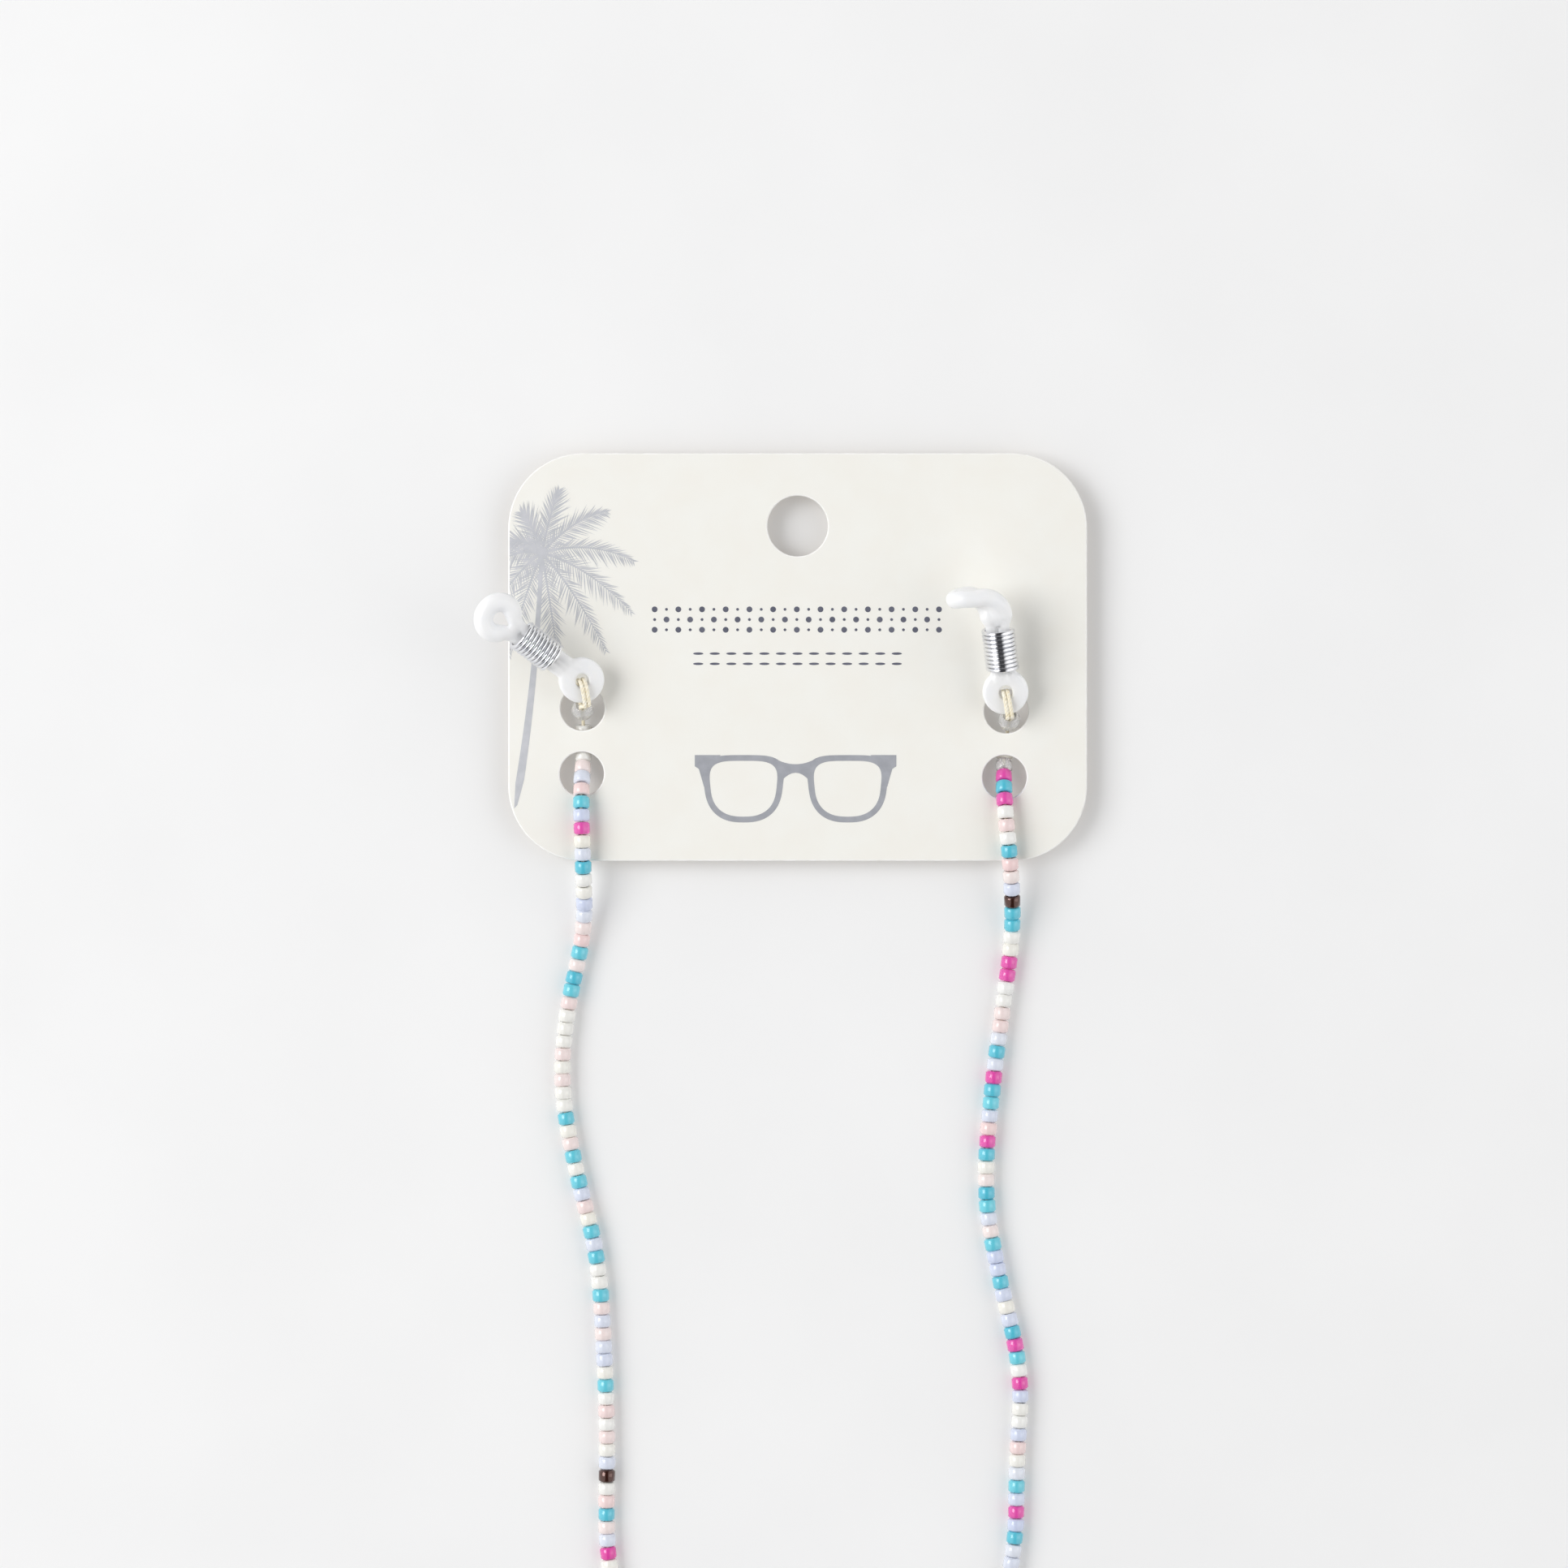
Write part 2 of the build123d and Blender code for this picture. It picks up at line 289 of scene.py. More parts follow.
# %% Bead finishes
glass_ior, lining_gloss = 1.48, 0.4
clear_glass = bead_finish("clear_glass", (255, 255, 255), (252, 251, 253), 0.05,
                          Transmission_Weight=0.74, IOR=glass_ior, Coat_Weight=0.5)
magenta_glass = bead_finish("magenta_glass", (255, 112, 206), (252, 78, 188), 0.08,
                            Transmission_Weight=0.3, IOR=glass_ior, Coat_Weight=0.6)
blush_glass = bead_finish("blush_glass", (255, 246, 243), (255, 226, 225), 0.1,
                          Transmission_Weight=0.14, IOR=glass_ior, Coat_Weight=0.4)
ivory_glass = bead_finish("ivory_glass", (255, 255, 253), (255, 252, 241), 0.1,
                          Transmission_Weight=0.14, IOR=glass_ior, Coat_Weight=0.4)
ice_blue_glass = bead_finish("ice_blue_glass", (243, 247, 255), (221, 230, 255), 0.1,
                             Transmission_Weight=0.16, IOR=glass_ior, Coat_Weight=0.4)
teal_glass = bead_finish("teal_glass", (112, 210, 226), (80, 190, 214), 0.28,
                         Coat_Weight=0.8, Coat_Roughness=0.08)
bronze_glass = bead_finish("bronze_glass", (84, 44, 32), (40, 20, 16), 0.12,
                           Metallic=0.6, Coat_Weight=1.0, Coat_Roughness=0.04)
magenta_lining = bead_finish("magenta_lining", (255, 66, 184), (244, 34, 158), lining_gloss)
blush_lining = bead_finish("blush_lining", (255, 200, 202), (250, 168, 178), lining_gloss)
ivory_lining = bead_finish("ivory_lining", (255, 251, 238), (250, 240, 216), lining_gloss)
ice_blue_lining = bead_finish("ice_blue_lining", (196, 210, 248), (160, 180, 238), lining_gloss)
print("finishes", [material.name for material in bpy.data.materials])

# %% [markdown]
# ## One bead
# A bead is turned: a small closed profile goes once round an axis. Three hundred and more of them are
# made from this one, so it has only a few dozen faces, and smooth shading rounds its narrow bevels off.
# The painted hole is a thin tube set into the glass.

# %% Turned shapes


def add_piece(name, mesh, *materials, smooth=True):
    """Put a mesh in the scene as a piece that stands at the origin."""
    for material in materials:
        mesh.materials.append(material)
    mesh.polygons.foreach_set("use_smooth", [smooth] * len(mesh.polygons))
    made = bpy.data.objects.new(name, mesh)
    bpy.context.scene.collection.objects.link(made)
    return made


def turned(name, profile, around):
    """Turn a closed profile of (radius, height) round Z, in metres."""
    shape = bmesh.new()
    rings = []
    for turn in range(around):
        angle = 2 * pi * turn / around
        rings.append([shape.verts.new((r * cos(angle), r * sin(angle), z)) for r, z in profile])
    for turn in range(around):
        here, there = rings[turn], rings[(turn + 1) % around]
        for at in range(len(profile)):
            to = (at + 1) % len(profile)
            shape.faces.new((here[at], there[at], there[to], here[to]))
    bmesh.ops.recalc_face_normals(shape, faces=shape.faces)
    mesh = bpy.data.meshes.new(name)
    shape.to_mesh(mesh)
    shape.free()
    return mesh


bead_radius, half_bead, hole_radius = 1.25 * mm, 0.93 * mm, 0.45 * mm
bevel, dish = 0.27 * mm, 0.04 * mm
lining_inside, lining_outside, half_lining = 0.40 * mm, 0.55 * mm, 0.84 * mm
glass_profile = [
    (hole_radius, dish - half_bead), (bead_radius - bevel, -half_bead), (bead_radius, bevel - half_bead),
    (bead_radius, half_bead - bevel), (bead_radius - bevel, half_bead), (hole_radius, half_bead - dish),
]
lining_profile = [
    (lining_inside, -half_lining), (lining_outside, -half_lining), (lining_outside, half_lining),
    (lining_inside, half_lining),
]
bead_glass = add_piece("bead_glass", turned("bead_glass", glass_profile, 12))
bead_lining = add_piece("bead_lining", turned("bead_lining", lining_profile, 8))
print("faces per bead", len(bead_glass.data.polygons), "+", len(bead_lining.data.polygons))

# %% [markdown]
# ## The string of beads
# First come the seats: one point per bead, at even steps along the spline, with the way the strand runs
# there and the bead's colour number. Then a Geometry Nodes tree puts the beads of one colour on their
# seats, each a little tilted and a little larger or smaller than the next, and the tree runs once for
# each colour and finish. A tree is better here than a loop of copies, because its sizes stay named
# inputs that can be turned by hand.

# %% Seats along the strand
letters = "TMPIBKC"
left_order = "PBPTBMIBTIIBBPPTPTTPIIIPIPIITIPTITBPITBTIITPBPBBITIPIPIBKIPTPBMI"
right_order = "CMTMIPITPPBKTTIIMMIIPPBTBMTTBPMTIPTTBPTBBTBIBTMTIMBIIBPIBTBMBTBBI"
bead_pitch, first_bead, first_visible = 1.9 * mm, 3.75 * mm, -34.4 * mm


def seats_along(line, order, until):
    """Seats from one end of the strand: place, direction and colour number of each bead."""
    seats, travelled, wanted, shown = [], 0.0, first_bead, 0
    for a, b in zip(line, line[1:]):
        step = (b - a).length
        while wanted <= travelled + step and wanted < until:
            at = a.lerp(b, (wanted - travelled) / step)
            hidden = at.y > first_visible and not shown
            letter = "I" if hidden else order[shown % len(order)]
            shown += not hidden
            seats.append((at, (b - a).normalized(), letters.index(letter)))
            wanted += bead_pitch
        travelled += step
    return seats


left_seats = seats_along(strand_line, left_order, strand_length / 2)
right_seats = seats_along(strand_line[::-1], right_order, strand_length / 2 - 0.5 * bead_pitch)
seats = left_seats + right_seats
seat_mesh = bpy.data.meshes.new("bead_seats")
seat_mesh.from_pydata([at for at, _, _ in seats], [], [])
seat_mesh.attributes.new("along", "FLOAT_VECTOR", "POINT").data.foreach_set(
    "vector", [c for _, along, _ in seats for c in along])
seat_mesh.attributes.new("colour_number", "INT", "POINT").data.foreach_set(
    "value", [number for _, _, number in seats])
bead_seats = add_piece("bead_seats", seat_mesh)
print("beads", len(seats), "left", len(left_seats), "right", len(right_seats))

# %% Helpers for Geometry Nodes


def new_tree(name, inputs):
    """A Geometry Nodes tree with named inputs and one geometry output."""
    tree = bpy.data.node_groups.new(name, "GeometryNodeTree")
    tree.interface.new_socket(name="Geometry", in_out="OUTPUT", socket_type="NodeSocketGeometry")
    tree.interface.new_socket(name="Geometry", in_out="INPUT", socket_type="NodeSocketGeometry")
    for label, kind, start in inputs:
        made = tree.interface.new_socket(name=label, in_out="INPUT", socket_type=kind)
        if start is not None:
            made.default_value = start
    return tree, tree.nodes.new("NodeGroupInput").outputs, tree.nodes.new("NodeGroupOutput").inputs


def node(tree, kind, settings=None, **sources):
    """Add a node, set its properties, and feed its sockets from values or other sockets."""
    made = tree.nodes.new(kind)
    for label, value in (settings or {}).items():
        setattr(made, label, value)
    for label, source in sources.items():
        wanted = label.replace("_", " ").lower()
        socket = [s for s in made.inputs if s.enabled and s.name.lower() == wanted][0]
        if isinstance(source, bpy.types.NodeSocket):
            tree.links.new(source, socket)
        else:
            socket.default_value = source
    return made


def output(made, label=None):
    """A node's output socket in use, the first one unless named."""
    return [s for s in made.outputs if s.enabled and label in (None, s.name)][0]


def by_place(tree, kind, operation, first, second):
    """A Math or Vector Math node, whose two inputs share a name, and its output."""
    made = tree.nodes.new(kind)
    made.operation = operation
    for socket, source in zip(made.inputs, (first, second)):
        if isinstance(source, bpy.types.NodeSocket):
            tree.links.new(source, socket)
        else:
            socket.default_value = source
    return made.outputs[0]


def sums(tree, operation, first, second):
    """One Math node."""
    return by_place(tree, "ShaderNodeMath", operation, first, second)


def end_tree(tree, made, material, result):
    """Close a tree: real geometry in place of instances, then its finish."""
    real = node(tree, "GeometryNodeRealizeInstances", geometry=output(made))
    painted = node(tree, "GeometryNodeSetMaterial", geometry=output(real), material=material)
    tree.links.new(output(painted), result["Geometry"])
    print("nodes in", tree.name, len(tree.nodes))


def grow(source, tree, name, **values):
    """Run a tree on an object and give back what it makes as a plain mesh piece."""
    modifier = source.modifiers.new(tree.name, "NODES")
    modifier.node_group = tree
    for socket in tree.interface.items_tree:
        label = socket.name.replace(" ", "_").lower()
        if socket.in_out == "INPUT" and label in values:
            modifier[socket.identifier] = values[label]
    bpy.context.view_layer.update()
    seen = source.evaluated_get(bpy.context.evaluated_depsgraph_get())
    mesh = bpy.data.meshes.new_from_object(seen)
    source.modifiers.remove(modifier)
    mesh.name = name
    return add_piece(name, mesh)


def discard(*objects):
    """Take helper objects out once what they made is plain mesh."""
    for thing in objects:
        bpy.data.objects.remove(thing)


def join(name, *objects):
    """Make one piece of several that already stand in place."""
    with bpy.context.temp_override(active_object=objects[0], selected_editable_objects=list(objects)):
        bpy.ops.object.join()
    objects[0].name = objects[0].data.name = name
    return objects[0]


# %% The tree that strings the beads
bead_tree, given, result = new_tree("bead_string", [
    ("Colour number", "NodeSocketInt", 0), ("Blank", "NodeSocketObject", None),
    ("Most tilt", "NodeSocketFloat", 0.06), ("Smallest", "NodeSocketFloat", 0.96),
    ("Seed", "NodeSocketInt", 7), ("Finish", "NodeSocketMaterial", None),
])
number = node(bead_tree, "GeometryNodeInputNamedAttribute", {"data_type": "INT"}, name="colour_number")
chosen = node(bead_tree, "FunctionNodeCompare", {"data_type": "INT", "operation": "EQUAL"},
              a=output(number, "Attribute"), b=given["Colour number"])
along = node(bead_tree, "GeometryNodeInputNamedAttribute", {"data_type": "FLOAT_VECTOR"}, name="along")
facing = node(bead_tree, "FunctionNodeAlignRotationToVector", {"axis": "Z"},
              vector=output(along, "Attribute"))
bead_index = node(bead_tree, "GeometryNodeInputIndex")
tilt = node(bead_tree, "FunctionNodeRandomValue", {"data_type": "FLOAT_VECTOR"},
            id=output(bead_index), seed=given["Seed"])
centred = by_place(bead_tree, "ShaderNodeVectorMath", "SUBTRACT", output(tilt), (0.5, 0.5, 0.5))
scaled = node(bead_tree, "ShaderNodeVectorMath", {"operation": "SCALE"}, scale=given["Most tilt"])
bead_tree.links.new(centred, scaled.inputs[0])
tilted = node(bead_tree, "FunctionNodeEulerToRotation", euler=scaled.outputs[0])
turned_bead = node(bead_tree, "FunctionNodeRotateRotation", {"rotation_space": "LOCAL"},
                   rotation=output(facing), rotate_by=output(tilted))
size = node(bead_tree, "FunctionNodeRandomValue", {"data_type": "FLOAT"},
            min=given["Smallest"], max=1.0, id=output(bead_index), seed=given["Seed"])
blank = node(bead_tree, "GeometryNodeObjectInfo", object=given["Blank"])
placed = node(bead_tree, "GeometryNodeInstanceOnPoints", points=given["Geometry"], selection=output(chosen),
              instance=output(blank, "Geometry"), rotation=output(turned_bead), scale=output(size))
tint = node(bead_tree, "FunctionNodeRandomValue", {"data_type": "FLOAT"}, id=output(bead_index), seed=23)
tinted = node(bead_tree, "GeometryNodeStoreNamedAttribute", {"data_type": "FLOAT", "domain": "INSTANCE"},
              geometry=output(placed), name="bead_tint", value=output(tint))
end_tree(bead_tree, tinted, given["Finish"], result)

# %% String every colour, then make the strand one piece
bead_parts = []
for letter, blank_piece, material in (
    ("T", bead_glass, teal_glass), ("K", bead_glass, bronze_glass), ("C", bead_glass, clear_glass),
    ("M", bead_glass, magenta_glass), ("M", bead_lining, magenta_lining),
    ("P", bead_glass, blush_glass), ("P", bead_lining, blush_lining),
    ("I", bead_glass, ivory_glass), ("I", bead_lining, ivory_lining),
    ("B", bead_glass, ice_blue_glass), ("B", bead_lining, ice_blue_lining),
):
    bead_parts.append(grow(bead_seats, bead_tree, f"beads_{letter}_{material.name}",
                           colour_number=letters.index(letter), blank=blank_piece, finish=material))
bead_strand = join("bead_strand", *bead_parts)
discard(bead_seats, bead_glass, bead_lining)
print("bead strand", len(bead_strand.data.polygons), "faces,", len(bead_strand.data.materials), "materials")

# %% [markdown]
# The thread is the spline itself with a round section: it shows only between the beads and at the two
# ends. It is cotton-covered, cream, with a fine fuzz.

# %% Thread through the beads
cream_thread = clouded_finish("cream_thread", (254, 249, 234), (246, 236, 208), 0.7, 1200, 6000, bump=0.2)
strand_thread.data.bevel_depth, strand_thread.data.bevel_resolution = 0.25 * mm, 1
strand_thread.data.use_fill_caps = True
strand_thread.data.resolution_u = 4
strand_thread.data.materials.append(cream_thread)
print("thread radius", strand_thread.data.bevel_depth)

# %% [markdown]
# ## Soft end fittings
# Each end is moulded in one piece from clear silicone: a flat ring with an eyelet, two legs, and the loop
# that stretches over a temple. A swept curve and a turned ring are fused by a voxel remesh, and a light
# smoothing gives the soft fillets of a moulding, which no separate primitives would have where they meet.

# %% Silicone and plated wire
silicone = clouded_finish(
    "clear_silicone", (255, 255, 255), (249, 251, 255), (0.28, 0.42), 250, 900, bump=0.04,
    Transmission_Weight=0.06, IOR=1.41, Subsurface_Weight=0.6, Subsurface_Scale=1.5 * mm,
    Subsurface_Radius=(1, 1, 1), Coat_Weight=0.25, Coat_Roughness=0.2)
plated_wire = clouded_finish("plated_wire", (242, 242, 244), (224, 225, 229), (0.05, 0.11), 500, 1500,
                             bump=0.004, depth=0.004 * mm, Metallic=1.0)
print("fitting finishes", silicone.name, plated_wire.name)

# %% Where each fitting stands


def fitting_place(ring, heading, rise):
    """The fitting's own axes: Y runs along it, Z out of the flat of its ring."""
    h, r = radians(heading), radians(rise)
    along = Vector((cos(h) * cos(r), sin(h) * cos(r), sin(r)))
    side = Vector((sin(h), -cos(h), 0))
    normal = side.cross(along)
    spot = Matrix((side, along, normal)).transposed().to_4x4()
    spot.translation = Vector(ring) * mm
    return spot


left_place = fitting_place((-31.6, -22.7, 3.9), 143.0, 18.0)
right_place = fitting_place((30.35, -24.4, 3.6), 97.7, 14.0)
print("left ring normal", [round(c, 3) for c in left_place.col[2][:3]])

# %% Moulded ring, legs and loop
ring_radius, eyelet_radius, half_ring, ring_edge, eyelet_edge = 3.35, 1.0, 0.9, 0.5, 0.3
leg_radius, leg_offset, neck_radius = 0.86, 0.93, 1.2
left_spring_start, right_spring_start = 5.1, 3.05


def rounded_section():
    """Section of the ring, from the eyelet to the rim, with soft corners."""
    rim_x, eyelet_x = ring_radius - ring_edge, eyelet_radius + eyelet_edge
    section = []
    for x, z, edge, start in (
        (rim_x, half_ring - ring_edge, ring_edge, 0), (eyelet_x, half_ring - eyelet_edge, eyelet_edge, 90),
        (eyelet_x, eyelet_edge - half_ring, eyelet_edge, 180), (rim_x, ring_edge - half_ring, ring_edge, 270),
    ):
        for step in range(5):
            angle = radians(start + 22.5 * step)
            section.append(((x + edge * cos(angle)) * mm, (z + edge * sin(angle)) * mm))
    return section


def silicone_end(name, spot, spring_start, leg_end, loop, neck, webs):
    """One moulded end, from points (x, y, z, radius) of its loop, its neck and the webs that fill it."""
    curve = bpy.data.curves.new(name, "CURVE")
    curve.dimensions, curve.bevel_depth, curve.bevel_resolution = "3D", 1.0 * mm, 6
    curve.resolution_u, curve.use_fill_caps = 10, True
    leg_stations = spring_start + 0.2, leg_end * 0.65, leg_end - 0.5
    legs = [*neck, *[(-leg_offset, y, 0, leg_radius) for y in leg_stations]]
    points = legs + loop + [(-x, y, z, r) for x, y, z, r in reversed(legs)]
    for run in (points, *webs):
        spline = curve.splines.new("BEZIER")
        spline.bezier_points.add(len(run) - 1)
        for point, (x, y, z, r) in zip(spline.bezier_points, run):
            point.co, point.radius = Vector((x, y, z)) * mm, r
            point.handle_left_type = point.handle_right_type = "AUTO"
    rope = bpy.data.objects.new(name, curve)
    bpy.context.scene.collection.objects.link(rope)
    bpy.context.view_layer.update()
    strands = add_piece(name, bpy.data.meshes.new_from_object(rope))
    ring = add_piece("ring", turned("ring", rounded_section(), 48))
    body = join(name, strands, ring)
    for kind, settings in (
        ("REMESH", {"mode": "VOXEL", "voxel_size": 0.13 * mm}), ("SMOOTH", {"factor": 0.6, "iterations": 5}),
    ):
        modifier = body.modifiers.new(kind.lower(), kind)
        for label, value in settings.items():
            setattr(modifier, label, value)
    bpy.context.view_layer.update()
    mesh = bpy.data.meshes.new_from_object(body.evaluated_get(bpy.context.evaluated_depsgraph_get()))
    discard(body, rope)
    mesh.transform(spot)
    mesh.materials.clear()
    return add_piece(name, mesh, silicone)


print("ring across", 2 * ring_radius, "eyelet across", 2 * eyelet_radius, "mm")

# %% [markdown]
# The left loop opens flat, in the plane of its ring. The right one leans to one side, and its two
# strands turn one over the other as they bend.

# %% The two loops
thick = 1.42
left_side = [(-1.2, 13.4, 0, 1.12), (-1.9, 14.3, 0, 1.35), (-2.35, 15.5, 0, thick), (-1.7, 17.0, 0, thick)]
left_loop = [*left_side, (0, 17.65, 0, thick), *[(-x, y, z, r) for x, y, z, r in reversed(left_side)]]
left_neck = [
    (-1.35, 1.4, 0, 1.0), (-1.0, 2.4, 0, 0.98), (-leg_offset, 3.1, 0, 0.84), (-leg_offset, 4.2, 0, 0.84),
]
left_webs = [
    [(0, 11.8, 0, 0.7), (0, 12.9, 0, 0.9), (0, 13.6, 0, 0.8)],
    [(0, 2.4, 0, 0.8), (0, 3.6, 0, 0.8), (0, 5.0, 0, 0.8)],
]
bend_start, bend_radius, full_bend, strand_thick = 11.3, 3.3, 85, 1.28
lower, middle, upper = [], [(0, 9.9, 0, 0.85)], []
for bend, reach, half in (
    (0, 0, 1.12), (28, 0, 1.15), (56, 0, 1.15), (full_bend, 0, 1.2), (full_bend, 1.7, 1.1),
):
    angle, roll = radians(bend), radians(90 * bend / full_bend)
    x = bend_radius * (cos(angle) - 1) - reach * sin(angle)
    y = bend_start + bend_radius * sin(angle) + reach * cos(angle)
    side = half * cos(angle) * cos(roll), half * sin(angle) * cos(roll), half * sin(roll)
    lower.append((x - side[0], y - side[1], -side[2], strand_thick))
    upper.append((x + side[0], y + side[1], side[2], strand_thick))
    middle.append((x, y, 0, 1.34))
far = (bend_radius * (cos(radians(full_bend)) - 1) - 2.7, bend_start + bend_radius, 0, strand_thick)
right_loop = [*lower, far, *reversed(upper)]
right_neck = [(-1.3, 1.5, 0, 1.0), (-leg_offset, 2.4, 0, neck_radius)]
left_temple_loop = silicone_end(
    "left_loop", left_place, left_spring_start, 12.6, left_loop, left_neck, left_webs)
right_temple_loop = silicone_end(
    "right_loop", right_place, right_spring_start, 10.6, right_loop, right_neck, [middle])
print("loop faces", len(left_temple_loop.data.polygons), len(right_temple_loop.data.polygons))

# %% [markdown]
# ## Cinch springs
# A close-wound spring of plated wire grips the two legs, and slides to tighten the loop. It follows a
# rule, so a tree makes it: a spiral of given turns and pitch, with a round wire swept along it.

# %% The spring tree
wire_radius = 0.29
spring_tree, given, result = new_tree("cinch_spring", [
    ("Turns", "NodeSocketFloat", 10.0), ("Pitch", "NodeSocketFloat", 0.605 * mm),
    ("Coil radius", "NodeSocketFloat", 2.16 * mm), ("Wire radius", "NodeSocketFloat", wire_radius * mm),
    ("Steps per turn", "NodeSocketInt", 36), ("Finish", "NodeSocketMaterial", None),
])
winding = node(spring_tree, "GeometryNodeCurveSpiral", resolution=given["Steps per turn"],
               rotations=given["Turns"], start_radius=given["Coil radius"], end_radius=given["Coil radius"],
               height=sums(spring_tree, "MULTIPLY", given["Turns"], given["Pitch"]))
section = node(spring_tree, "GeometryNodeCurvePrimitiveCircle", {"mode": "RADIUS"},
               resolution=12, radius=given["Wire radius"])
wire = node(spring_tree, "GeometryNodeCurveToMesh", curve=output(winding), profile_curve=output(section),
            fill_caps=True)
end_tree(spring_tree, wire, given["Finish"], result)


def cinch_spring(name, spot, start):
    """A spring round the legs, starting at a distance along the fitting."""
    seed = add_piece("seed", bpy.data.meshes.new("seed"))
    spring = grow(seed, spring_tree, name, finish=plated_wire)
    discard(seed)
    along_y = Matrix(((1, 0, 0), (0, 0, 1), (0, -1, 0))).to_4x4() @ Matrix.Rotation(radians(90), 4, "Z")
    along_y.translation = Vector((0, start + wire_radius, 0)) * mm
    spring.data.transform(spot @ along_y)
    return spring


left_spring = cinch_spring("left_spring", left_place, left_spring_start)
right_spring = cinch_spring("right_spring", right_place, right_spring_start)
print("spring faces", len(left_spring.data.polygons))

# %% [markdown]
# ## End beads and tie threads
# A clear round bead in each upper hole keeps the knot from pulling through. From it, two threads run side
# by side over the ring, down through its eyelet and back. Each thread is twisted from plies: the tree
# copies its line, shifts each copy off the middle by an angle that grows along the line, and sweeps it.

# %% End beads
bead_slope = radians(60)
bead_up = Vector((0, cos(bead_slope), sin(bead_slope)))
bead_out = Vector((0, -sin(bead_slope), cos(bead_slope)))


def end_bead(name, centre):
    """Clear round bead, bored along the strand's slope."""
    bore, ball, steps = 0.95, 1.65, 14
    profile = []
    for step in range(steps + 1):
        angle = acos(bore / ball) * (2 * step / steps - 1)
        profile.append((ball * cos(angle) * mm, ball * sin(angle) * mm))
    mesh = turned(name, profile, 32)
    spot = Vector((0, 0, 1)).rotation_difference(bead_up).to_matrix().to_4x4()
    spot.translation = Vector(centre) * mm
    mesh.transform(spot)
    return add_piece(name, mesh, clear_glass)


left_round_bead = end_bead("left_round_bead", left_end_bead)
right_round_bead = end_bead("right_round_bead", right_end_bead)
print("end bead faces", len(left_round_bead.data.polygons))

# %% The tree that twists a thread
thread_radius, thread_gap, thread_side = 0.3, 0.3, 0.31
twist_tree, given, result = new_tree("twisted_thread", [
    ("Plies", "NodeSocketInt", 3), ("Twist per metre", "NodeSocketFloat", 2 * pi / (1.6 * mm)),
    ("Thread radius", "NodeSocketFloat", thread_radius * mm), ("Step", "NodeSocketFloat", 0.12 * mm),
    ("Finish", "NodeSocketMaterial", None),
])
line = node(twist_tree, "GeometryNodeMeshToCurve", mesh=given["Geometry"])
fine = node(twist_tree, "GeometryNodeResampleCurve", {"mode": "LENGTH"},
            curve=output(line), length=given["Step"])
copies = node(twist_tree, "GeometryNodeDuplicateElements", {"domain": "SPLINE"},
              geometry=output(fine), amount=given["Plies"])
travel = node(twist_tree, "GeometryNodeSplineParameter")
whole_turn = sums(twist_tree, "DIVIDE", 2 * pi, given["Plies"])
phase = sums(twist_tree, "MULTIPLY", output(copies, "Duplicate Index"), whole_turn)
angle_along = sums(twist_tree, "MULTIPLY", output(travel, "Length"), given["Twist per metre"])
ply_angle = sums(twist_tree, "ADD", angle_along, phase)
normal = node(twist_tree, "GeometryNodeInputNormal")
tangent = node(twist_tree, "GeometryNodeInputTangent")
spun = node(twist_tree, "ShaderNodeVectorRotate", {"rotation_type": "AXIS_ANGLE"},
            vector=output(normal), axis=output(tangent), angle=ply_angle)
off_middle = node(twist_tree, "ShaderNodeVectorMath", {"operation": "SCALE"},
                  scale=sums(twist_tree, "MULTIPLY", given["Thread radius"], 0.5))
twist_tree.links.new(spun.outputs[0], off_middle.inputs[0])
shifted = node(twist_tree, "GeometryNodeSetPosition", geometry=output(copies, "Geometry"),
               offset=off_middle.outputs[0])
section = node(twist_tree, "GeometryNodeCurvePrimitiveCircle", {"mode": "RADIUS"}, resolution=7,
               radius=sums(twist_tree, "MULTIPLY", given["Thread radius"], 0.54))
plies = node(twist_tree, "GeometryNodeCurveToMesh", curve=output(shifted), profile_curve=output(section),
             fill_caps=True)
end_tree(twist_tree, plies, given["Finish"], result)

# %% Two threads at each fitting
inside_bead, above_bead, bore_offset = -1.2, 1.75, 0.33


def tie_threads(name, spot, centre):
    """Two twisted threads through the eyelet and back to the end bead."""
    ring, ring_normal, bead = spot.translation / mm, spot.col[2].to_3d(), Vector(centre)
    toward = bead - ring
    toward = (toward - ring_normal * toward.dot(ring_normal)).normalized()
    across = toward.cross(ring_normal)
    lift = half_ring + thread_gap + thread_radius
    rim = ring_radius + thread_gap + thread_radius
    twisted = []
    for side in (-thread_side, thread_side):
        on_ring, in_bead = across * side, Vector((side * (1 if across.x > 0 else -1), 0, 0))
        points = [
            bead + bead_up * inside_bead + bead_out * bore_offset + in_bead,
            bead + bead_up * above_bead + bead_out * bore_offset + in_bead,
            ring + toward * rim + ring_normal * 0.1 + on_ring,
            ring + toward * (rim - 0.35) + ring_normal * lift + on_ring,
            ring + ring_normal * lift + on_ring,
            ring - ring_normal * lift + on_ring,
            ring + toward * 1.9 - ring_normal * lift + on_ring,
            bead + bead_up * above_bead - bead_out * bore_offset + in_bead,
            bead + bead_up * inside_bead - bead_out * bore_offset + in_bead,
        ]
        route = spline_object("tie_route", points, steps=12)
        line = line_of(route)
        chain = bpy.data.meshes.new("chain")
        chain.from_pydata(line, [(at, at + 1) for at in range(len(line) - 1)], [])
        chain_piece = add_piece("chain", chain)
        twisted.append(grow(chain_piece, twist_tree, name, finish=cream_thread))
        discard(route, chain_piece)
    return join(name, *twisted)


left_tie = tie_threads("left_tie", left_place, left_end_bead)
right_tie = tie_threads("right_tie", right_place, right_end_bead)
print("tie faces", len(left_tie.data.polygons))

